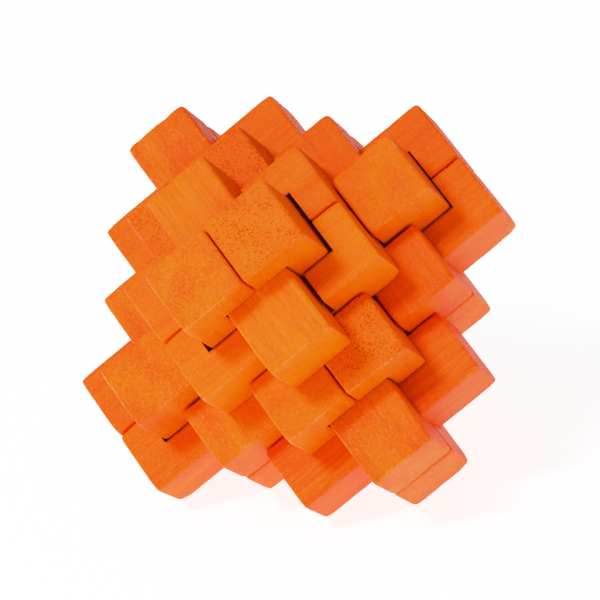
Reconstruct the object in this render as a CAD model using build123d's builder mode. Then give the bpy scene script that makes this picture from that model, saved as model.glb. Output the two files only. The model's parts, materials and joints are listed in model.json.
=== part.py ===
"""A wooden burr puzzle of twenty-four square sticks, standing on its nine lowest corners.

Three axes cross at right angles in the middle, and each one points up to one side:
right, left and front. Along each axis run

  - two long sticks side by side, which cross the other two pairs in the core,
  - four saddles, short sticks that are notched to straddle the long pair of the next axis,
  - two keys, short plain sticks that slide through the tips and lock the saddles.

Each stick is drawn in a local frame: x runs along the stick, y is the way in which the two
long sticks lie side by side, and z is the third axis. Going from one axis to the next turns
(x, y, z) in a cycle, so the three sets are the same apart from the notches of the core.
"""
import os
from math import sqrt

from build123d import *

# Driving dimensions, in millimetres
PITCH = 12.0  # a stick and the air beside it, from one stick's middle to the next one's
FIT_GAP = 0.2  # air between any two neighbouring faces
LEG = 6.0  # how far a saddle reaches beyond the pair that it straddles, at each end
HEAD = 6.0  # how far a long stick reaches beyond its key, at each end
NOTCH_SLACK = 0.5  # extra air at each end of a notch in a saddle or in the core
SLOT_SLACK = 0.1  # extra air at each end of a key slot in a long stick
EDGE_RADIUS = 0.5  # rounding of all the edges of a stick, before its notches are cut

# Sizes that follow from them
HALF = PITCH / 2
SECTION = PITCH - FIT_GAP
SHORT_REACH = PITCH + LEG  # from the middle of a saddle or key to its end
KEY_MIDDLE = SHORT_REACH + HALF  # from the centre of the puzzle to the middle of a key
SADDLE_MIDDLE = PITCH + HALF  # from the centre of the puzzle to the middle of a saddle
LONG_REACH = SHORT_REACH + PITCH + HEAD  # from the middle of a long stick to its end

# The height of the centre above the table, which the lowest rounded corners touch.
# Each corner lies at minus these three distances along the three axes.
LOWEST_CORNERS = (
    (LONG_REACH, PITCH, HALF),
    (SHORT_REACH, PITCH, SADDLE_MIDDLE + HALF),
    (SHORT_REACH, KEY_MIDDLE + HALF, HALF),
)
CORNER_SUM = max(sum(corner) for corner in LOWEST_CORNERS) - 1.5 * FIT_GAP
CENTRE_HEIGHT = (CORNER_SUM - 3 * EDGE_RADIUS) / sqrt(3) + EDGE_RADIUS

# The three axes, all rising at the same angle, a third of a turn apart
AXES = {
    "right": Vector(1 / sqrt(2), 1 / sqrt(6), 1 / sqrt(3)),
    "left": Vector(-1 / sqrt(2), 1 / sqrt(6), 1 / sqrt(3)),
    "front": Vector(0, -2 / sqrt(6), 1 / sqrt(3)),
}
CYCLE = (("right", "left", "front"), ("left", "front", "right"), ("front", "right", "left"))

# The six arms of the puzzle, by axis and by end
ARMS = {
    ("right", 1): "upper_right",
    ("right", -1): "lower_left",
    ("left", 1): "upper_left",
    ("left", -1): "lower_right",
    ("front", 1): "upper_front",
    ("front", -1): "lower_back",
}
SIDES = {1: "upper", -1: "lower"}


def add_bar(frame, reach, y_middle, z_middle):
    """Add a square bar with rounded edges along the frame's x, its ends at plus and minus reach."""
    with BuildSketch(frame.offset(z_middle)) as outline:
        with Locations((0, y_middle)):
            Rectangle(2 * reach - FIT_GAP, SECTION)
    bar = extrude(outline.sketch, amount=SECTION / 2, both=True)
    fillet(bar.edges(), EDGE_RADIUS)


def cut_notch(x_span, y_span, z_span, slack=NOTCH_SLACK):
    """Cut a block given by its spans from middle to middle of the air around what fills it."""
    lows = [min(span) - FIT_GAP / 2 for span in (x_span, y_span, z_span)]
    highs = [max(span) + FIT_GAP / 2 for span in (x_span, y_span, z_span)]
    lows[0] -= slack
    highs[0] += slack
    middle = [(low + high) / 2 for low, high in zip(lows, highs)]
    size = [high - low for low, high in zip(lows, highs)]
    with Locations(tuple(middle)):
        Box(*size, mode=Mode.SUBTRACT)


def finish_piece(piece, name):
    """Label a finished stick and write it to its own file."""
    piece.part.label = name
    export_step(piece.part, f"parts/{name}.step")


def make_long_stick(frame, side, core_notches, name):
    """Make a long stick: a slot for a key near each end, and its own notches in the core."""
    with BuildPart(frame) as stick:
        add_bar(frame, LONG_REACH, side * HALF, 0)
        for end in (1, -1):
            slot = (end * SHORT_REACH, end * (SHORT_REACH + PITCH))
            cut_notch(slot, (0, side * HALF), (-HALF, HALF), SLOT_SLACK)
        for x_span, y_span, z_span in core_notches:
            cut_notch(x_span, y_span, z_span)
    finish_piece(stick, name)


def make_saddle(frame, side, level, name):
    """Make a saddle: a deep notch over half of a long pair, and a shallow one under a key."""
    with BuildPart(frame) as saddle:
        add_bar(frame, SHORT_REACH, side * HALF, level * SADDLE_MIDDLE)
        cut_notch((-PITCH, PITCH), (0, side * HALF), (level * PITCH, level * 2 * PITCH))
        key_side = (level * SHORT_REACH, level * 2 * PITCH)
        cut_notch((-HALF, HALF), (0, side * PITCH), key_side)
    finish_piece(saddle, name)


def make_key(frame, side, name):
    """Make a key: a plain short stick across the tip of an arm."""
    with BuildPart(frame) as key:
        add_bar(frame, SHORT_REACH, side * KEY_MIDDLE, 0)
    finish_piece(key, name)


def find_core_notches(run, side):
    """List the notches that a long stick has in the core, as spans along x, y and z.

    The upper right-hand stick is whole there and goes in last. Its lower mate keeps a boss in
    the middle. The left-hand pair is cut to half its thickness over both, and the front pair
    is cut like that and then once more, to a quarter, where the whole stick passes.
    """
    inner_half = (0, side * HALF)
    whole_width = (-HALF, HALF)
    if run == "right" and side == 1:
        return []
    if run == "right":
        return [((end * HALF, end * PITCH), inner_half, whole_width) for end in (1, -1)]
    wide_notch = ((-PITCH, PITCH), inner_half, whole_width)
    if run == "left":
        return [wide_notch]
    return [wide_notch, ((-HALF, HALF), (0, side * PITCH), (0, HALF))]


os.makedirs("parts", exist_ok=True)
centre = Vector(0, 0, CENTRE_HEIGHT)
for run, y_axis, z_axis in CYCLE:
    stick_frame = Plane(origin=centre, x_dir=AXES[run], z_dir=AXES[z_axis])
    for side, side_name in SIDES.items():
        long_name = f"rising_{run}_long_stick_{side_name}"
        make_long_stick(stick_frame, side, find_core_notches(run, side), long_name)
        make_key(stick_frame, side, f"{ARMS[y_axis, side]}_key")
        for level in (1, -1):
            make_saddle(stick_frame, side, level, f"{ARMS[z_axis, level]}_saddle_{side_name}")
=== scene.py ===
"""Looks of a wooden burr puzzle: twenty-four stained square sticks, each carved as its own surface.

Every stick is a rounded square section carried along a track. The track runs from the middle
of one end face, over its rounded rim, along the stick and down and up the shoulders of its
notches, to the middle of the other end face. Small seeded irregularities then make it the work
of a saw and a sanding belt, and the wood itself is a solid pattern fixed in the stick.
"""
import json
import logging
from dataclasses import dataclass, field
from enum import Enum
from itertools import product
from math import cos, pi, radians, sin
from typing import Optional, Union

import bpy
import numpy as np
from mathutils import Matrix, Vector


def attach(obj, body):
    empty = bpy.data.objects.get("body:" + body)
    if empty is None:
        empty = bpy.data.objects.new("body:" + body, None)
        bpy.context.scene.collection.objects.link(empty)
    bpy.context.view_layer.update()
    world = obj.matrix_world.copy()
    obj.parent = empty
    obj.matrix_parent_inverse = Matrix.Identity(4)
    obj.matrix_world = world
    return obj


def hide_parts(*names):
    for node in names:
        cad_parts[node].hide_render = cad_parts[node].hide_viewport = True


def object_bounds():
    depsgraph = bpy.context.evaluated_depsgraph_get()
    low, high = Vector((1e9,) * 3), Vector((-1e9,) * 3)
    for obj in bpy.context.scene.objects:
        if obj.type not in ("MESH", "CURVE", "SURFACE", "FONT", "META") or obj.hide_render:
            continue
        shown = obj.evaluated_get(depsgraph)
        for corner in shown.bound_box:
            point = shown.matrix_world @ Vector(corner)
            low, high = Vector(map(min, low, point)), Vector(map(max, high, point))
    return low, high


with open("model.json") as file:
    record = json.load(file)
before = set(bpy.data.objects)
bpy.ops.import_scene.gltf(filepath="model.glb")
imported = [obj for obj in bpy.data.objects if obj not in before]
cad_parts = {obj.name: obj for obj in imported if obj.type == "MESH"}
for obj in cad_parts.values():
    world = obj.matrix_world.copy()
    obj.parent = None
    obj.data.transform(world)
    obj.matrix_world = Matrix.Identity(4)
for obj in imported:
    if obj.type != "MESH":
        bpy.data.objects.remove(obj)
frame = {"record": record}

CAD_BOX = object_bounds()
MM = 0.001
LOG = logging.getLogger("burr")


# ---------------------------------------------------------------- shader maths


@dataclass(frozen=True)
class Wire:
    """A value on its way through a material: one output socket, with arithmetic on it."""

    graph: "Graph"
    socket: bpy.types.NodeSocket

    def __add__(self, other: "Term") -> "Wire":
        """Sum."""
        return self.graph.math("ADD", self, other)

    def __radd__(self, other: "Term") -> "Wire":
        """Sum, with the wire on the right."""
        return self.graph.math("ADD", other, self)

    def __sub__(self, other: "Term") -> "Wire":
        """Difference."""
        return self.graph.math("SUBTRACT", self, other)

    def __rsub__(self, other: "Term") -> "Wire":
        """Difference, with the wire on the right."""
        return self.graph.math("SUBTRACT", other, self)

    def __mul__(self, other: "Term") -> "Wire":
        """Product."""
        return self.graph.math("MULTIPLY", self, other)

    def __rmul__(self, other: "Term") -> "Wire":
        """Product, with the wire on the right."""
        return self.graph.math("MULTIPLY", other, self)


Term = Union[Wire, float]


class Graph:
    """Builds the node tree of one material."""

    def __init__(self, material: bpy.types.Material) -> None:
        """Start an empty tree.

        Args:
            material: the material whose tree is built.
        """
        material.use_nodes = True
        self.tree = material.node_tree
        self.tree.nodes.clear()

    def node(self, kind: str, settings: Optional[dict] = None, **sockets: object) -> bpy.types.Node:
        """Add a node.

        Args:
            kind: the node's type, without "ShaderNode".
            settings: attributes of the node, set before its sockets.
            sockets: values or wires by socket name, with underscores for spaces, or by index
                as in i0.

        Returns:
            The node.
        """
        made = self.tree.nodes.new("ShaderNode" + kind)
        for key, value in (settings or {}).items():
            setattr(made, key, value)
        for key, value in sockets.items():
            place = int(key[1:]) if key[1:].isdigit() else key.replace("_", " ")
            self.put(made.inputs[place], value)
        return made

    def put(self, socket: bpy.types.NodeSocket, value: object) -> None:
        """Give a socket a value, or link a wire to it.

        Args:
            socket: the input socket.
            value: a wire, a number or a tuple.
        """
        if isinstance(value, Wire):
            self.tree.links.new(value.socket, socket)
        else:
            socket.default_value = value

    def out(self, node: bpy.types.Node, name: Union[str, int]) -> Wire:
        """The wire that leaves a node by one of its sockets."""
        return Wire(self, node.outputs[name])

    def math(self, operation: str, first: Term, second: Term = 0.0, third: Term = 0.0) -> Wire:
        """A Math node on numbers.

        Args:
            operation: the node's operation.
            first: the first value.
            second: the second value.
            third: the third value, for the operations that take one.

        Returns:
            The result.
        """
        return self.out(self.node("Math", {"operation": operation}, i0=first, i1=second, i2=third), 0)

    def ease(self, value: Wire, start: float, end: float) -> Wire:
        """A smooth step: 0 at start, 1 at end, or the other way round if start is larger.

        Args:
            value: the value that is tested.
            start: where the result is 0.
            end: where the result is 1.

        Returns:
            The step.
        """
        low, high = min(start, end), max(start, end)
        settings = {"interpolation_type": "SMOOTHSTEP"}
        step = self.out(self.node("MapRange", settings, Value=value, From_Min=low, From_Max=high), 0)
        return step if start < end else 1.0 - step

    def mix(self, share: Term, first: object, second: object) -> Wire:
        """Blend two colours.

        Args:
            share: 0 for the first colour, 1 for the second.
            first: a colour or a wire.
            second: a colour or a wire.

        Returns:
            The blended colour.
        """
        # Of a Mix node's many sockets, inputs 6 and 7 and output 2 are the ones for colours.
        made = self.node("Mix", {"data_type": "RGBA"}, i0=share, i6=first, i7=second)
        return self.out(made, 2)

    def clamped(self, value: Wire) -> Wire:
        """The value, held between 0 and 1."""
        return self.math("MINIMUM", self.math("MAXIMUM", value, 0.0), 1.0)

    def along(self, place: Wire, squeeze: float, shift: tuple = (0.0, 0.0, 0.0)) -> Wire:
        """A place squeezed along x, so that a pattern read there is long along the fibres.

        Args:
            place: the place.
            squeeze: the factor along x.
            shift: what is added afterwards.

        Returns:
            The new place.
        """
        scale = (squeeze, 1.0, 1.0)
        made = self.node("Mapping", {"vector_type": "POINT"}, Vector=place, Location=shift, Scale=scale)
        return self.out(made, 0)

    def noise(self, place: Wire, figure: "Figure") -> Wire:
        """Fractal noise from 0 to 1, with the sizes of one of the wood's figures.

        Args:
            place: where it is read, in millimetres.
            figure: its sizes.

        Returns:
            The noise.
        """
        spot = self.along(place, figure.squeeze, figure.shift)
        made = self.node(
            "TexNoise", Vector=spot, Scale=figure.scale, Detail=figure.detail, Roughness=figure.roughness
        )
        return self.out(made, 0)


# ---------------------------------------------------------------- finishes


class Grain(Enum):
    """How the wood of a stick was cut and how it took the stain."""

    FINE = "fine"
    POROUS = "porous"
    STREAKED = "streaked"
    MOTTLED = "mottled"


@dataclass(frozen=True)
class Figure:
    """The sizes of one of the noises that make up the wood's figure.

    Attributes:
        scale: how many features there are to a millimetre across the fibres.
        squeeze: how many of them there are along the fibres, as a share of that.
        detail: how many octaves the noise has.
        roughness: how strong its finer octaves are.
        shift: where it is read, so that it doesn't follow another figure.
    """

    scale: float
    squeeze: float
    detail: float
    roughness: float = 0.5
    shift: tuple = (0.0, 0.0, 0.0)


FIBRE = Figure(1.5, 0.045, 4.0, 0.62)
HAIR = Figure(4.6, 0.03, 2.0, 0.6, (5.0, 3.0, 1.0))
BLOTCH = Figure(0.21, 0.3, 3.0)
FUZZ = Figure(2.7, 0.5, 3.0, 0.72)
SPECKS = Figure(3.6, 0.7, 3.0, 0.6, (30.0, 10.0, 20.0))
CROWDING = Figure(0.35, 0.02, 2.0)
SWELLING = Figure(0.8, 1.0, 2.0)


@dataclass(frozen=True)
class StainedWood:
    """Orange-stained wood as a solid pattern, in millimetres of the stick it is cut from.

    The pattern is long along x, the way of the fibres, so that pores are dots on an end face
    and short dark lines on a long one.

    Attributes:
        grain: what it is called.
        pore_depth: how dark the pores are on an end face, from 0 to 1.
        streak_depth: how much the fibres change the colour.
        blotch_depth: how unevenly the stain has soaked in.
        fuzz_depth: how rough and speckled the sanded surface looks.
        light: the colour of the pale fibres.
        deep: the colour of the fibres that took more stain.
        pore: the colour inside a pore.
        pale_dust_wear_and_highlight: sanding dust under the wax, and edges of wear and painted highlight.
        painted_notch_shade: painted shade, a dark colour inside the notches for the deep gaps.
        pore_spacing: from one pore to the next, in millimetres.
        pore_squeeze: the spacing across the fibres, as a share of the spacing along them.
        line_share: how much of a pore's darkness is left where it is cut lengthwise.
        bump_height: the depth of the surface's relief, in metres.
    """

    grain: Grain
    pore_depth: float
    streak_depth: float
    blotch_depth: float
    fuzz_depth: float
    light: tuple = (0.88, 0.135, 0.001, 1.0)
    deep: tuple = (0.83, 0.058, 0.0004, 1.0)
    pore: tuple = (0.36, 0.052, 0.004, 1.0)
    # Pale: dust specks, and edges that are part wear and part painted highlight.
    pale_dust_wear_and_highlight: tuple = (0.92, 0.24, 0.07, 1.0)
    # Painted shade: the dark colour inside the notches.
    painted_notch_shade: tuple = (0.30, 0.016, 0.001, 1.0)
    pore_spacing: float = 0.45
    pore_squeeze: float = 0.11
    line_share: float = 0.3
    bump_height: float = 0.09 * MM

    def make(self) -> bpy.types.Material:
        """Build the material.

        Returns:
            The material, named for its grain.
        """
        material = bpy.data.materials.new(f"stained_wood_{self.grain.value}")
        graph = Graph(material)
        place = graph.out(graph.node("Attribute", {"attribute_name": "grain_place"}), "Vector")
        inside = self.read(graph, "inside")
        end_grain = self.read(graph, "end_grain")
        fibre = graph.noise(place, FIBRE)
        hair = graph.noise(place, HAIR)
        blotch = graph.noise(place, BLOTCH)
        fuzz = graph.noise(place, FUZZ)
        pores = self.find_pores(graph, place) * (self.line_share + end_grain * (1.0 - self.line_share))

        # The stick's shade: its stain's tone, and on a few sticks painted light and painted shade.
        tone = 0.5 + self.read(graph, "shade") + (fibre + hair * 0.8 - 0.9) * self.streak_depth
        tone = tone + (blotch - 0.5) * self.blotch_depth + (fuzz - 0.5) * self.fuzz_depth
        colour = graph.mix(graph.clamped(tone), self.deep, self.light)
        colour = graph.mix(pores * self.pore_depth, colour, self.pore)
        # Painted shade: the notches are darkened for the shade deep in the gaps.
        colour = graph.mix(inside, colour, self.painted_notch_shade)
        # Pale edges: part worn stain and part painted highlight.
        edge_wear_and_highlight = graph.ease(self.read(graph, "edge_nearness") * (fuzz + blotch), 0.68, 1.15)
        colour = self.sand(graph, place, colour, edge_wear_and_highlight)

        rough = 0.5 + fuzz * 0.16 + pores * 0.2 + inside * 0.2
        height = fibre * 0.4 + hair * 0.3 + graph.noise(place, SWELLING) * 0.4
        height = height + fuzz * (0.8 * self.fuzz_depth) - pores * (1.1 * self.pore_depth)
        bump = graph.node("Bump", Height=height, Strength=0.6, Distance=self.bump_height)
        shader = graph.node(
            "BsdfPrincipled", Base_Color=colour, Roughness=rough, Normal=graph.out(bump, 0), IOR=1.2
        )
        output = graph.node("OutputMaterial")
        graph.put(output.inputs["Surface"], graph.out(shader, 0))
        return material

    def sand(self, graph: Graph, place: Wire, colour: Wire, edge_wear_and_highlight: Wire) -> Wire:
        """Speckle a colour as sanding does: dark pits, pale dust, and pale edges of wear and painted
        highlight.

        Args:
            graph: the material's graph.
            place: where the pattern is read, in millimetres.
            colour: the colour of the stained wood.
            edge_wear_and_highlight: 1 on the edges, where the stain is worn off and a highlight is
                painted.

        Returns:
            The speckled colour.
        """
        specks = graph.noise(place, SPECKS)
        dust = graph.ease(specks, 0.51, 0.72)
        pits = graph.ease(specks, 0.42, 0.29)
        colour = graph.mix(pits * (0.22 * self.fuzz_depth), colour, self.pore)
        # Dust specks and the edges' wear and painted highlight turn pale.
        pale = graph.clamped(edge_wear_and_highlight * 0.6 + dust * (0.2 * self.fuzz_depth))
        return graph.mix(pale, colour, self.pale_dust_wear_and_highlight)

    def read(self, graph: Graph, name: str) -> Wire:
        """Read one of the numbers that a stick stores on its points.

        Args:
            graph: the material's graph.
            name: the attribute's name.

        Returns:
            The number.
        """
        return graph.out(graph.node("Attribute", {"attribute_name": name}), "Fac")

    def find_pores(self, graph: Graph, place: Wire) -> Wire:
        """Pores: dots round the points of cells that are far longer than they are wide.

        Their size follows a slow noise, so that they crowd together in some places.

        Args:
            graph: the material's graph.
            place: where the pattern is read, in millimetres.

        Returns:
            1 in a pore and 0 between them.
        """
        cells = graph.along(place, self.pore_squeeze)
        scale = 1.0 / self.pore_spacing
        spots = graph.node("TexVoronoi", {"feature": "F1"}, Vector=cells, Scale=scale, Randomness=0.9)
        size = graph.noise(place, CROWDING) * 0.68 - 0.035
        return graph.ease(graph.out(spots, "Distance") - size, 0.08, -0.1)


FINISHES = {
    finish.grain: finish
    for finish in (
        StainedWood(Grain.FINE, pore_depth=0.15, streak_depth=0.95, blotch_depth=1.0, fuzz_depth=1.1),
        StainedWood(Grain.POROUS, pore_depth=0.85, streak_depth=0.7, blotch_depth=0.9, fuzz_depth=1.2),
        StainedWood(Grain.STREAKED, pore_depth=0.2, streak_depth=1.7, blotch_depth=1.0, fuzz_depth=1.0),
        StainedWood(Grain.MOTTLED, pore_depth=0.2, streak_depth=0.9, blotch_depth=1.5, fuzz_depth=1.6),
    )
}


# ---------------------------------------------------------------- sizes


@dataclass(frozen=True)
class Lattice:
    """The driving sizes of the puzzle, in metres, and the places that follow from them."""

    pitch: float = 12.0 * MM
    fit_gap: float = 0.2 * MM
    leg: float = 6.0 * MM
    head: float = 6.0 * MM
    notch_slack: float = 0.5 * MM
    slot_slack: float = 0.1 * MM

    @property
    def half(self) -> float:
        """Half a pitch."""
        return self.pitch / 2

    @property
    def air(self) -> float:
        """Half of the air between two faces, which each of them gives."""
        return self.fit_gap / 2

    @property
    def short_reach(self) -> float:
        """From the middle of a saddle or key to the middle of the air at its end."""
        return self.pitch + self.leg

    @property
    def long_reach(self) -> float:
        """From the middle of a long stick to the middle of the air at its end."""
        return self.short_reach + self.pitch + self.head


LATTICE = Lattice()
CENTRE = np.array((CAD_BOX[0] + CAD_BOX[1]) / 2)


def axis_of(arm: str) -> np.ndarray:
    """The direction of an arm, from the record's mount at its end.

    Args:
        arm: the arm's name, such as upper_right.

    Returns:
        A unit vector.
    """
    mounts = {mount["name"]: mount for mount in frame["record"]["mounts"]}
    direction = np.array(mounts[f"{arm}_end"]["axis"], float)
    return direction / np.linalg.norm(direction)


AXES = {"right": axis_of("upper_right"), "left": axis_of("upper_left"), "front": axis_of("upper_front")}
CYCLE = (("right", "left", "front"), ("left", "front", "right"), ("front", "right", "left"))
ARMS = {
    ("right", 1): "upper_right",
    ("right", -1): "lower_left",
    ("left", 1): "upper_left",
    ("left", -1): "lower_right",
    ("front", 1): "upper_front",
    ("front", -1): "lower_back",
}
SIDES = {1: "upper", -1: "lower"}

# Where each kind of stick starts its numbers, which seed the irregularities
LONG_NUMBERS = 100
SADDLE_NUMBERS = 200
KEY_NUMBERS = 300


# ---------------------------------------------------------------- one stick


@dataclass(frozen=True)
class Notch:
    """A notch over a span of the stick, from the inner face or from the top face.

    Attributes:
        start: where it begins along the stick, in metres.
        end: where it ends.
        depth: how deep it is cut from the face.
        from_top: True if it is cut from the top face, and False from the inner face.
    """

    start: float
    end: float
    depth: float
    from_top: bool = False


@dataclass
class Stick:
    """One stick, in its own coordinates: x along it, a outwards from its inner face, b to its top.

    Attributes:
        name: the CAD node that it stands for.
        body: the CAD body that it rides on.
        run: unit vector along the stick, in the row frame.
        outwards: unit vector from its inner to its outer face.
        upwards: unit vector from its bottom to its top face.
        reach: half its length.
        middle: its middle, as distances along outwards and upwards from the puzzle's centre.
        section: the width of its square section.
        notches: its notches.
        seed: the seed of its irregularities.
        shade: how much lighter it is drawn, from -0.5 to 0.5: stain tone, on a few sticks painted light
            and shade.
        edge_radius: the rounding of its long edges.
        rim_radius: the rounding round its end faces.
        cut_radius: the rounding that is left on an edge where a notch cuts through it.
        lip_radius: the rounding of a notch's lip.
        wall_lean: how far a notch's wall leans out of square, which keeps its points apart.
        station_step: from one station to the next along a plain stretch.
        flat_points: how many points lie across each side of the section.
        arc_points: how many points make each of its rounded corners.
        turn_points: how many stations make the rounded rim.
        lip_points: how many stations make a notch's lip.
        wall_points: how many stations make a notch's wall.
        cap_rings: how many rings fill an end face.
        sanding: how far the uneven sanding moves a point.
        ripples: the length of each of the faces' ripples, and its share of the sanding.
        edge_nearness_width: how far the pale edge, part wear and part painted highlight, reaches from an
            edge.
        rng: the source of its random draws.
    """

    name: str
    body: str
    run: np.ndarray
    outwards: np.ndarray
    upwards: np.ndarray
    reach: float
    middle: tuple
    section: float
    notches: list
    seed: int
    shade: float
    edge_radius: float = 0.5 * MM
    rim_radius: float = 0.45 * MM
    cut_radius: float = 0.14 * MM
    lip_radius: float = 0.16 * MM
    wall_lean: float = 0.01 * MM
    station_step: float = 0.62 * MM
    flat_points: int = 16
    arc_points: int = 5
    turn_points: int = 6
    lip_points: int = 4
    wall_points: int = 8
    cap_rings: int = 14
    sanding: float = 0.022 * MM
    ripples: tuple = ((22 * MM, 1.0), (9 * MM, 0.7), (3.6 * MM, 0.3))
    edge_nearness_width: float = 0.55 * MM
    rng: np.random.Generator = field(init=False)

    def __post_init__(self) -> None:
        """Seed the stick's own random draws."""
        self.rng = np.random.default_rng(self.seed)

    def lay_track(self) -> np.ndarray:
        """List the stations that the section passes, from one end face's middle to the other's.

        A row holds x, the inset of the rim, the share of the section that is left on the end
        face, and how deep the inner and top faces are cut. At a shoulder x stands still while
        the depth changes, after a quarter circle of the lip radius.

        Returns:
            An array of stations by five.
        """
        events = []
        for notch in self.notches:
            events.append((notch.start, int(notch.from_top), notch.depth))
            events.append((notch.end, int(notch.from_top), 0.0))
        events.sort()

        end_rows = self.lay_end()
        rows = [end_rows[::-1] * np.array([-1, 1, 1, 1, 1])]
        depths = np.zeros(2)
        x = -self.reach + self.rim_radius
        for place, face, depth in events:
            deeper = depth > depths[face]
            stop = place - (self.lip_radius if deeper else 0.0)
            rows.append(self.lay_stretch(x, stop, depths))
            rows.append(self.lay_shoulder(place, face, depth, depths))
            depths[face] = depth
            x = place + (0.0 if deeper else self.lip_radius)
        rows.append(self.lay_stretch(x, self.reach - self.rim_radius, depths))
        rows.append(end_rows)
        return np.concatenate(rows)

    def lay_end(self) -> np.ndarray:
        """Stations over the rim, a quarter circle, and then inwards across the end face.

        The rings on the end face shrink slowly near the rim and faster towards the middle.

        Returns:
            The rows, from the last full section to near the middle of the end face.
        """
        turn = np.linspace(0.0, pi / 2, self.turn_points)
        rim = np.zeros((self.turn_points, 5))
        rim[:, 0] = self.reach - self.rim_radius * (1 - np.sin(turn))
        rim[:, 1] = self.rim_radius * (1 - np.cos(turn))
        rim[:, 2] = 1.0
        cap = np.zeros((self.cap_rings - 1, 5))
        cap[:, 0] = self.reach
        cap[:, 1] = self.rim_radius
        cap[:, 2] = 1 - np.linspace(0.0, 1.0, self.cap_rings, endpoint=False)[1:] ** 1.6
        return np.concatenate([rim, cap])

    def lay_stretch(self, start: float, end: float, depths: np.ndarray) -> np.ndarray:
        """Even stations between two places, without the places themselves.

        Args:
            start: where the stretch begins.
            end: where it ends.
            depths: how deep the inner and top faces are cut.

        Returns:
            The rows.
        """
        count = max(2, int(round((end - start) / self.station_step)) + 1)
        return self.rows_at(np.linspace(start, end, count)[1:-1], depths)

    def rows_at(self, xs: np.ndarray, depths: np.ndarray) -> np.ndarray:
        """Stations along a stretch where the depths stay the same.

        Args:
            xs: the places along the stick.
            depths: how deep the inner and top faces are cut.

        Returns:
            The rows.
        """
        flat = np.zeros((len(xs), 5))
        flat[:, 0] = xs
        flat[:, 2] = 1.0
        flat[:, 3:] = depths
        return flat

    def lay_shoulder(self, place: float, face: int, after: float, depths: np.ndarray) -> np.ndarray:
        """Stations down or up a notch's shoulder: a rounded lip and then a straight wall.

        Args:
            place: where the wall stands.
            face: 0 if the inner face is cut, and 1 if the top face is.
            after: the depth on the far side.
            depths: both faces' depths on the near side.

        Returns:
            The rows, in the order that the track passes them.
        """
        before = depths[face]
        depth = max(before, after)
        turn = np.linspace(0.0, pi / 2, self.lip_points)
        lip_x = -self.lip_radius * (1 - np.sin(turn))
        lip_depth = self.lip_radius * (1 - np.cos(turn))
        wall_x = np.linspace(0, self.wall_lean, self.wall_points)[1:]
        wall_depth = np.linspace(self.lip_radius, depth, self.wall_points)[1:]
        xs = np.concatenate([lip_x, wall_x])
        cuts = np.concatenate([lip_depth, wall_depth])
        if after < before:
            xs, cuts = -xs[::-1], cuts[::-1]
        rows = self.rows_at(place + xs, depths)
        rows[:, 3 + face] = cuts
        return rows

    def carry_section(self, track: np.ndarray) -> np.ndarray:
        """Carry the rounded square along the track.

        Each corner is a quarter circle between two sides, each side a straight row of points
        between two corners. A corner is sharp where one of its sides is cut.

        Args:
            track: the stations.

        Returns:
            Points by station and by turn, as x, a and b.
        """
        x, inset, share, cut_a, cut_b = track.T
        half = self.section / 2
        low_a, high_a = -half + cut_a, np.full_like(x, half)
        low_b, high_b = np.full_like(x, -half), half - cut_b
        middle_a, middle_b = (low_a + high_a) / 2, (low_b + high_b) / 2
        reach_a = (high_a - low_a) / 2 - inset
        reach_b = (high_b - low_b) / 2 - inset

        sharp_a = np.clip(cut_a / (3 * self.lip_radius), 0, 1)
        sharp_b = np.clip(cut_b / (3 * self.lip_radius), 0, 1)
        sharp = np.stack([sharp_a, np.zeros_like(x), sharp_b, np.maximum(sharp_a, sharp_b)], 1)
        waves = self.draw_waves(4, x, 9.0 * MM)
        radius = self.edge_radius * (1 + 0.15 * waves)
        radius = radius + (self.cut_radius - radius) * sharp
        radius = np.maximum(radius - inset[:, None], self.cut_radius)

        signs = ((-1, -1), (1, -1), (1, 1), (-1, 1))
        arcs = []
        for corner, (sign_a, sign_b) in enumerate(signs):
            turn = np.linspace(pi, 1.5 * pi, self.arc_points) + corner * pi / 2
            r = radius[:, corner, None]
            a = sign_a * (reach_a[:, None] - r) + r * np.cos(turn)
            b = sign_b * (reach_b[:, None] - r) + r * np.sin(turn)
            arcs.append(np.stack([a, b], 2))
        weights = np.linspace(0, 1, self.flat_points + 2)[1:-1, None]
        loop = []
        for corner in range(4):
            tail, head = arcs[corner][:, -1:], arcs[(corner + 1) % 4][:, :1]
            loop += [arcs[corner], tail + (head - tail) * weights]
        around = np.concatenate(loop, 1) * share[:, None, None]
        points = np.empty(around.shape[:2] + (3,))
        points[..., 0] = x[:, None]
        points[..., 1] = middle_a[:, None] + around[..., 0]
        points[..., 2] = middle_b[:, None] + around[..., 1]
        return points

    def draw_waves(self, count: int, x: np.ndarray, length: float) -> np.ndarray:
        """Smooth random waves along the stick: each is a sum of five sines with random phases.

        Args:
            count: how many waves.
            x: where they are read.
            length: the length of the longest sine.

        Returns:
            Values from about -1 to 1, by place and by wave.
        """
        orders = np.arange(1, 6)
        phases = self.rng.uniform(0, 2 * pi, (count, 5))
        weights = self.rng.uniform(0.4, 1.0, (count, 5)) / orders**0.6
        angles = x[:, None, None] * (2 * pi / length) * orders + phases
        return (np.sin(angles) * weights).sum(2) / weights.sum(1)

    def soften(self, points: np.ndarray) -> np.ndarray:
        """Make a sawn and sanded stick of a perfect one.

        Args:
            points: the perfect points, as x, a and b.

        Returns:
            The moved points.
        """
        flat = points.reshape(-1, 3)
        return (self.ripple(flat) + self.dent(flat)).reshape(points.shape)

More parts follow.
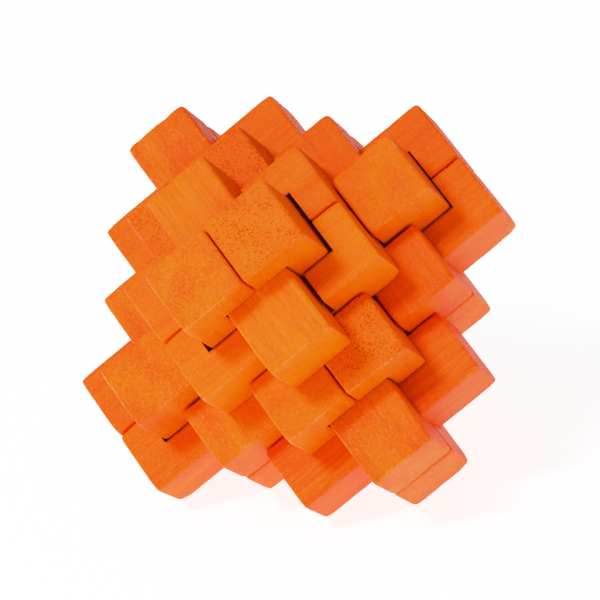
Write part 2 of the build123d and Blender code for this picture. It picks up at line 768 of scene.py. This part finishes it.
    def ripple(self, flat: np.ndarray) -> np.ndarray:
        """Make the faces slightly uneven, by a sum of sines along random directions.

        The stick first shrinks by as much as the ripples can push its faces out.

        Args:
            flat: the perfect points.

        Returns:
            The moved points.
        """
        most = self.sanding * 2.2
        across = 1 - most / (self.section / 2)
        moved = flat * np.array([1 - most / self.reach, across, across])
        for length, strength in self.ripples:
            ways = self.rng.normal(size=(4, 3))
            ways *= (2 * pi / length) / np.linalg.norm(ways, axis=1)[:, None]
            phases = self.rng.uniform(0, 2 * pi, 4)
            pushes = self.rng.normal(size=(4, 3)) * np.array([0.5, 1, 1])
            pushes *= self.sanding * strength / np.linalg.norm(pushes, axis=1)[:, None] / 2
            moved = moved + np.sin(flat @ ways.T + phases) @ pushes
        return moved

    def dent(self, flat: np.ndarray) -> np.ndarray:
        """Dent the edges and corners, by bell-shaped pushes towards the stick's axis.

        Small dents lie at random places on the long edges and the rims, and each of the eight
        corners has a larger one.

        Args:
            flat: the perfect points.

        Returns:
            How far each point moves.
        """
        half = self.section / 2
        count = int(10 + self.reach / MM / 2)
        places = np.stack(
            [
                self.rng.uniform(-self.reach, self.reach, count),
                self.rng.choice((-half, half), count),
                self.rng.choice((-half, half), count),
            ],
            1,
        )
        on_rim = self.rng.random(count) < 0.45
        places[on_rim, 0] = np.sign(places[on_rim, 0]) * self.reach
        places[on_rim, 2] = self.rng.uniform(-half, half, on_rim.sum())
        widths = self.rng.uniform(0.25 * MM, 0.6 * MM, count)
        corners = np.array(list(product((-self.reach, self.reach), (-half, half), (-half, half))))
        places = np.concatenate([places, corners])
        widths = np.append(widths, self.rng.uniform(0.7 * MM, 1.4 * MM, len(corners)))
        depths = widths * self.rng.uniform(0.12, 0.36, len(widths))
        gaps = np.linalg.norm(flat[:, None] - places[None], axis=2)
        press = (np.exp(-((gaps / widths) ** 2)) * depths).sum(1)
        aim = -places[np.argmin(gaps, 1)]
        aim[:, 0] *= 0.15
        aim /= np.linalg.norm(aim, axis=1)[:, None]
        return aim * press[:, None]

    def find_edge_nearness(self, points: np.ndarray, track: np.ndarray) -> np.ndarray:
        """How near each point is to an edge, from 0 well inside a face to 1 on the edge.

        A point on a face is at no distance from that face, so its second smallest distance to
        the faces is the distance to the nearest edge.

        Args:
            points: the perfect points.
            track: the stations that they belong to.

        Returns:
            One value a point.
        """
        half = self.section / 2
        x, a, b = points[..., 0], points[..., 1], points[..., 2]
        cut_a, cut_b = track[:, 3, None], track[:, 4, None]
        gaps = [self.reach - np.abs(x), a + half - cut_a, half - a, b + half, half - cut_b - b]
        second = np.sort(np.abs(np.stack(gaps)), 0)[1]
        return np.exp(-((second / self.edge_nearness_width) ** 1.3))

    def find_inside(self, points: np.ndarray, track: np.ndarray) -> np.ndarray:
        """Which points lie on the floor or on a wall of a notch.

        Args:
            points: the perfect points.
            track: the stations that they belong to.

        Returns:
            1 inside a notch and 0 outside it, for each point.
        """
        half = self.section / 2
        cut_a, cut_b = track[:, 3, None], track[:, 4, None]
        near_a = (points[..., 1] < cut_a - half + self.cut_radius) & (cut_a > self.lip_radius)
        near_b = (points[..., 2] > half - cut_b - self.cut_radius) & (cut_b > self.lip_radius)
        return (near_a | near_b).astype(float)

    def build(self, material: bpy.types.Material) -> bpy.types.Object:
        """Make the stick's mesh and object, attach the object to its body and hide the CAD part that it
        stands for.

        Args:
            material: the stick's finish.

        Returns:
            The object.
        """
        track = self.lay_track()
        perfect = self.carry_section(track)
        points = self.soften(perfect)
        flat = np.concatenate([points.reshape(-1, 3), points[[0, -1]].mean(1)])
        on_end = np.abs(perfect[..., 0]) > self.reach - 0.1 * MM
        marks = {
            "edge_nearness": np.append(self.find_edge_nearness(perfect, track).ravel(), (0.0, 0.0)),
            # The notch mask carries the painted shade and extra roughness.
            "inside": np.append(self.find_inside(perfect, track).ravel(), (0.0, 0.0)),
            "end_grain": np.append(on_end.ravel(), (1.0, 1.0)),
            "shade": np.full(len(flat), self.shade),
        }
        axes = np.stack([self.run, self.outwards, self.upwards])
        middle = CENTRE + self.outwards * self.middle[0] + self.upwards * self.middle[1]
        faces = self.join_points(*points.shape[:2], mirrored=np.linalg.det(axes) < 0)

        mesh = bpy.data.meshes.new(f"{self.name}_wood")
        mesh.from_pydata((flat @ axes + middle).tolist(), [], faces)
        mesh.polygons.foreach_set("use_smooth", np.ones(len(mesh.polygons), bool))
        mesh.set_sharp_from_angle(angle=radians(35.0))
        self.write_attributes(mesh, flat, marks)
        mesh.materials.append(material)
        made = bpy.data.objects.new(f"{self.name}_wood", mesh)
        bpy.context.scene.collection.objects.link(made)
        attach(made, self.body)
        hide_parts(self.name)
        return made

    def join_points(self, stations: int, turns: int, mirrored: bool) -> list:
        """The faces: quads from each station to the next, and a fan of triangles on each end.

        Args:
            stations: how many sections there are.
            turns: how many points each has.
            mirrored: True if the stick's axes are left-handed, which turns every face round.

        Returns:
            The points of each face, whose last two are the middles of the ends.
        """
        rows = np.arange(stations - 1)[:, None] * turns
        turn = np.arange(turns)[None]
        after = (turn + 1) % turns
        quads = np.stack([rows + turn, rows + after, rows + turns + after, rows + turns + turn], 2)
        quads = quads.reshape(-1, 4)
        first, last = stations * turns, stations * turns + 1
        loop, following = np.arange(turns), (np.arange(turns) + 1) % turns
        start_fan = np.stack([np.full(turns, first), following, loop], 1)
        base = (stations - 1) * turns
        end_fan = np.stack([np.full(turns, last), base + loop, base + following], 1)
        fans = np.concatenate([start_fan, end_fan])
        if mirrored:
            quads, fans = quads[:, ::-1], fans[:, ::-1]
        return quads.tolist() + fans.tolist()

    def write_attributes(self, mesh: bpy.types.Mesh, flat: np.ndarray, marks: dict) -> None:
        """Store the marks and the place in the solid pattern on the mesh's points.

        The place is the stick's own coordinates in millimetres, turned about its length and
        moved far along, by random amounts, so that no two sticks come from the same wood.

        Args:
            mesh: the mesh.
            flat: its points in the stick's coordinates.
            marks: arrays of one number a point, by name.
        """
        angle = self.rng.uniform(0, 2 * pi)
        spin = np.array([[1, 0, 0], [0, cos(angle), sin(angle)], [0, -sin(angle), cos(angle)]])
        place = flat / MM @ spin + self.rng.uniform(-400, 400, 3)
        store = mesh.attributes.new("grain_place", "FLOAT_VECTOR", "POINT")
        store.data.foreach_set("vector", place.astype(np.float32).ravel())
        for name, values in marks.items():
            store = mesh.attributes.new(name, "FLOAT", "POINT")
            store.data.foreach_set("value", values.astype(np.float32))


# ---------------------------------------------------------------- sub-assemblies


@dataclass
class StickSet:
    """The sticks of one kind. Its subclasses say where they are and how they are notched.

    Attributes:
        sizes: the puzzle's driving sizes.
        materials: the finished materials, by grain.
        lean_most: how much a stick's shade may differ from the usual, where it isn't listed.
        lean_seed: what is added to a stick's number to seed its shade.
    """

    sizes: Lattice
    materials: dict
    lean_most: float = 0.12
    lean_seed: int = 7000

    def place(
        self,
        name: str,
        body: str,
        directions: tuple,
        reach: float,
        middle: tuple,
        notches: list,
        order: int,
    ) -> None:
        """Build one stick of the set and report it.

        Args:
            name: the CAD node that it stands for.
            body: the body that it rides on.
            directions: its run, outward and upward unit vectors.
            reach: from its middle to the middle of the air at its end.
            middle: its middle, along outwards and upwards.
            notches: its notches.
            order: its number, which seeds its irregularities.
        """
        grain = GRAIN_OF.get(name, Grain.FINE)
        run, outwards, upwards = directions
        draws = np.random.default_rng(order + self.lean_seed)
        lean = float(draws.uniform(-self.lean_most, self.lean_most))
        stick = Stick(
            name=name,
            body=body,
            run=run,
            outwards=outwards,
            upwards=upwards,
            reach=reach - self.sizes.air,
            middle=middle,
            section=self.sizes.pitch - self.sizes.fit_gap,
            notches=notches,
            seed=order,
            shade=SHADE_OF.get(name, lean),
        )
        made = stick.build(self.materials[grain])
        LOG.info("%s: %d faces, %s", made.name, len(made.data.polygons), grain.value)

    def notch(self, start: float, end: float, depth: float, slack: float, from_top: bool = False) -> Notch:
        """A notch round a block, with the air and slack that the block needs.

        Args:
            start: where the block begins.
            end: where it ends.
            depth: how far it reaches into the stick, from the middle of the air at its face.
            slack: what the notch is longer at each end.
            from_top: True for a notch in the top face.

        Returns:
            The notch.
        """
        spare = self.sizes.air + slack
        return Notch(start - spare, end + spare, depth, from_top)


class LongSticks(StickSet):
    """The three crossing pairs of long sticks."""

    def build(self) -> None:
        """Build the six long sticks, each with its key slots and its notches in the core."""
        sizes = self.sizes
        slot_end = sizes.short_reach + sizes.pitch
        for turn, (run, y_axis, z_axis) in enumerate(CYCLE):
            for side, side_name in SIDES.items():
                notches = [
                    self.notch(-slot_end, -sizes.short_reach, sizes.half, sizes.slot_slack),
                    self.notch(sizes.short_reach, slot_end, sizes.half, sizes.slot_slack),
                ]
                notches += self.core_notches(run, side)
                name = f"rising_{run}_long_stick_{side_name}"
                directions = (AXES[run], side * AXES[y_axis], AXES[z_axis])
                middle = (sizes.half, 0.0)
                order = LONG_NUMBERS + 10 * turn + side
                self.place(name, "burr", directions, sizes.long_reach, middle, notches, order)

    def core_notches(self, run: str, side: int) -> list:
        """The notches that let the three pairs cross.

        Args:
            run: the axis that the stick runs along.
            side: 1 for the upper stick of the pair, -1 for the lower one.

        Returns:
            The notches.
        """
        sizes = self.sizes
        if run == "right" and side == 1:
            return []
        if run == "right":
            starts = (-sizes.pitch, sizes.half)
            slack = sizes.notch_slack
            return [self.notch(start, start + sizes.half, sizes.half, slack) for start in starts]
        wide = self.notch(-sizes.pitch, sizes.pitch, sizes.half, sizes.notch_slack)
        if run == "left":
            return [wide]
        return [wide, self.notch(-sizes.half, sizes.half, sizes.half, sizes.notch_slack, from_top=True)]


class Saddles(StickSet):
    """The twelve notched short sticks, two to an arm."""

    def build(self) -> None:
        """Build the saddles, each over half of a long pair and under a key."""
        sizes = self.sizes
        wide = self.notch(-sizes.pitch, sizes.pitch, sizes.half, sizes.notch_slack)
        key_depth = 2 * sizes.pitch - sizes.short_reach
        narrow = self.notch(-sizes.half, sizes.half, key_depth, sizes.notch_slack, from_top=True)
        for turn, (run, y_axis, z_axis) in enumerate(CYCLE):
            for side, side_name in SIDES.items():
                for level in (1, -1):
                    name = f"{ARMS[z_axis, level]}_saddle_{side_name}"
                    directions = (AXES[run], side * AXES[y_axis], level * AXES[z_axis])
                    middle = (sizes.half, 1.5 * sizes.pitch)
                    order = SADDLE_NUMBERS + 10 * turn + 2 * side + level
                    self.place(name, "burr", directions, sizes.short_reach, middle, [wide, narrow], order)


class Keys(StickSet):
    """The six plain keys, one through the tip of each arm."""

    def build(self) -> None:
        """Build the keys, each on its own body."""
        sizes = self.sizes
        for turn, (run, y_axis, z_axis) in enumerate(CYCLE):
            for side in SIDES:
                name = f"{ARMS[y_axis, side]}_key"
                directions = (AXES[run], side * AXES[y_axis], AXES[z_axis])
                middle = (sizes.short_reach + sizes.half, 0.0)
                order = KEY_NUMBERS + 10 * turn + side
                self.place(name, name, directions, sizes.short_reach, middle, [], order)


# The figured sticks. The others are fine-grained.
GRAIN_OF = {
    "rising_front_long_stick_upper": Grain.POROUS,
    "upper_left_saddle_upper": Grain.POROUS,
    "upper_left_saddle_lower": Grain.POROUS,
    "lower_right_saddle_upper": Grain.POROUS,
    "lower_back_saddle_upper": Grain.POROUS,
    "upper_front_key": Grain.STREAKED,
    "lower_right_key": Grain.STREAKED,
    "rising_left_long_stick_lower": Grain.STREAKED,
    "upper_right_saddle_lower": Grain.STREAKED,
    "rising_left_long_stick_upper": Grain.MOTTLED,
    "lower_left_key": Grain.MOTTLED,
    "lower_left_saddle_upper": Grain.MOTTLED,
    "rising_front_long_stick_lower": Grain.MOTTLED,
}
# Stain tone, lighter or darker, of some sticks; the five marked ones are painted light and shade. The
# others differ by chance.
SHADE_OF = {
    "upper_front_key": 0.22,
    "rising_front_long_stick_upper": 0.05,
    "rising_front_long_stick_lower": 0.08,
    "upper_right_key": 0.08,
    "upper_front_saddle_upper": 0.02,
    # Painted light: drawn lighter, to brighten the shadow that falls on it.
    "upper_front_saddle_lower": 0.22,
    "rising_right_long_stick_upper": -0.22,
    "rising_right_long_stick_lower": -0.1,
    # Painted shade: these two are drawn darker, as if a shadow lay on them.
    "upper_right_saddle_upper": -0.22,
    "lower_right_key": -0.32,
    # Painted light: these two are drawn lighter, to brighten the shadow that falls on them.
    "lower_right_saddle_lower": 0.04,
    "lower_left_saddle_upper": 0.1,
    "rising_left_long_stick_upper": -0.12,
    "lower_left_key": 0.0,
    "upper_left_key": -0.05,
}


# ---------------------------------------------------------------- studio


@dataclass(frozen=True)
class Lamp:
    """A square soft light.

    Attributes:
        name: its name.
        azimuth: where it stands round the object, in degrees, as in the camera's azimuth.
        elevation: its height above the horizon, in degrees.
        distance: how far away it is, in metres.
        size: the length of its side.
        power: in watts.
    """

    name: str
    azimuth: float
    elevation: float
    distance: float
    size: float
    power: float


def towards(azimuth: float, elevation: float) -> Vector:
    """The unit vector from the object to a viewer.

    Args:
        azimuth: 0 for a viewer at -Y, 90 for one at +X, in degrees.
        elevation: above the horizon, in degrees.

    Returns:
        The vector.
    """
    turn, lift = radians(azimuth), radians(elevation)
    return Vector((sin(turn) * cos(lift), -cos(turn) * cos(lift), sin(lift)))


@dataclass
class Studio:
    """A pale floor, soft lights and the camera.

    Attributes:
        floor_size: the length of the floor's side, in metres.
        lamps: the soft lights.
        ambient: the strength of the even light from all round.
        floor_shade: how much of the light the floor gives back.
        floor_glow: the light that the floor gives by itself.
        blue_toe: pairs of blue light received and shown, near black.
        response: pairs of light received and shown.
        camera_azimuth: the camera's place round the object, in degrees.
        camera_elevation: its height above the horizon, in degrees.
        camera_roll: how far it is turned about its own axis, in degrees.
        camera_distance: from the camera to its aim, in metres.
        lens: its focal length, in millimetres.
        aim_right: how far to the right of the puzzle's centre it aims, in metres.
        aim_up: how far above the centre it aims.
    """

    floor_size: float = 6.0
    lamps: tuple = (
        Lamp("key_softbox", azimuth=-24.0, elevation=45.0, distance=1.0, size=0.2, power=3.1),
    )
    ambient: float = 0.165
    floor_shade: float = 0.5
    floor_glow: float = 0.62
    blue_toe: tuple = ((0.006, 0.001), (0.0115, 0.0115))
    response: tuple = (
        (0.105, 0.30),
        (0.19, 0.54),
        (0.28, 0.735),
        (0.385, 0.815),
        (0.525, 0.85),
        (0.64, 0.885),
        (0.72, 0.96),
        (0.80, 0.995),
    )
    camera_azimuth: float = 21.95
    camera_elevation: float = 22.98
    camera_roll: float = -3.95
    camera_distance: float = 0.4553
    lens: float = 167.2
    aim_right: float = 0.0003
    aim_up: float = 0.00077

    def build(self) -> None:
        """Make the floor, the lamps, the ambient light, the camera and its response."""
        self.set_response()
        self.build_floor()
        self.build_world()
        for lamp in self.lamps:
            self.build_lamp(lamp)
        self.build_camera()

    def set_response(self) -> None:
        """Give the pictures a soft shoulder, so that a strong red rises slowly and white stays white.

        The curve's points are pairs of light received and light shown. A short toe on blue alone
        keeps the shaded orange deep.
        """
        view = bpy.context.scene.view_settings
        view.view_transform = "Standard"
        view.use_curve_mapping = True
        for received, shown in self.response:
            view.curve_mapping.curves[3].points.new(received, shown)
        blue = view.curve_mapping.curves[2]
        for received, shown in self.blue_toe:
            blue.points.new(received, shown)
        for point in blue.points:
            point.handle_type = "VECTOR"
        view.curve_mapping.update()

    def build_floor(self) -> None:
        """A large flat sheet under the lowest corners, which glows a little like a light table."""
        half = self.floor_size / 2
        height = CAD_BOX[0].z
        signs = ((-1, -1), (1, -1), (1, 1), (-1, 1))
        corners = [(half * across, half * back, height) for across, back in signs]
        mesh = bpy.data.meshes.new("floor")
        mesh.from_pydata(corners, [], [(0, 1, 2, 3)])
        material = bpy.data.materials.new("pale_floor")
        graph = Graph(material)
        pale = (self.floor_shade, self.floor_shade, self.floor_shade, 1.0)
        white = (1.0, 1.0, 1.0, 1.0)
        shader = graph.node("BsdfPrincipled", Base_Color=pale, Roughness=0.7, Emission_Color=white)
        shader.inputs["Emission Strength"].default_value = self.floor_glow
        output = graph.node("OutputMaterial")
        graph.put(output.inputs["Surface"], graph.out(shader, 0))
        mesh.materials.append(material)
        floor = bpy.data.objects.new("floor", mesh)
        bpy.context.scene.collection.objects.link(floor)

    def build_world(self) -> None:
        """An even white ambient light."""
        world = bpy.data.worlds.new("studio")
        world.use_nodes = True
        background = world.node_tree.nodes["Background"]
        background.inputs["Color"].default_value = (1.0, 1.0, 1.0, 1.0)
        background.inputs["Strength"].default_value = self.ambient
        bpy.context.scene.world = world

    def build_lamp(self, lamp: Lamp) -> None:
        """Make one soft light that faces the object.

        Args:
            lamp: the light.
        """
        light = bpy.data.lights.new(lamp.name, "AREA")
        light.size = lamp.size
        light.energy = lamp.power
        made = bpy.data.objects.new(lamp.name, light)
        direction = towards(lamp.azimuth, lamp.elevation)
        made.location = Vector(CENTRE) + direction * lamp.distance
        made.rotation_mode = "QUATERNION"
        made.rotation_quaternion = (-direction).to_track_quat("-Z", "Y")
        bpy.context.scene.collection.objects.link(made)

    def build_camera(self) -> None:
        """Make the camera and use it."""
        data = bpy.data.cameras.new("camera")
        data.lens = self.lens
        data.clip_start = 0.01
        camera = bpy.data.objects.new("camera", data)
        back = towards(self.camera_azimuth, self.camera_elevation)
        level = (-back).to_track_quat("-Z", "Y")
        turned = level @ Matrix.Rotation(radians(self.camera_roll), 3, "Z").to_quaternion()
        camera.rotation_mode = "QUATERNION"
        camera.rotation_quaternion = turned
        aim = Vector(CENTRE) + turned @ Vector((self.aim_right, self.aim_up, 0.0))
        camera.location = aim + back * self.camera_distance
        bpy.context.scene.collection.objects.link(camera)
        bpy.context.scene.camera = camera


def main() -> None:
    """Build the studio and the sticks."""
    logging.basicConfig(level=logging.INFO, format="%(name)s: %(message)s")
    Studio().build()
    materials = {grain: finish.make() for grain, finish in FINISHES.items()}
    for kind in (LongSticks, Saddles, Keys):
        kind(LATTICE, materials).build()
        LOG.info("%s done", kind.__name__)


if __name__ == "__main__":
    main()
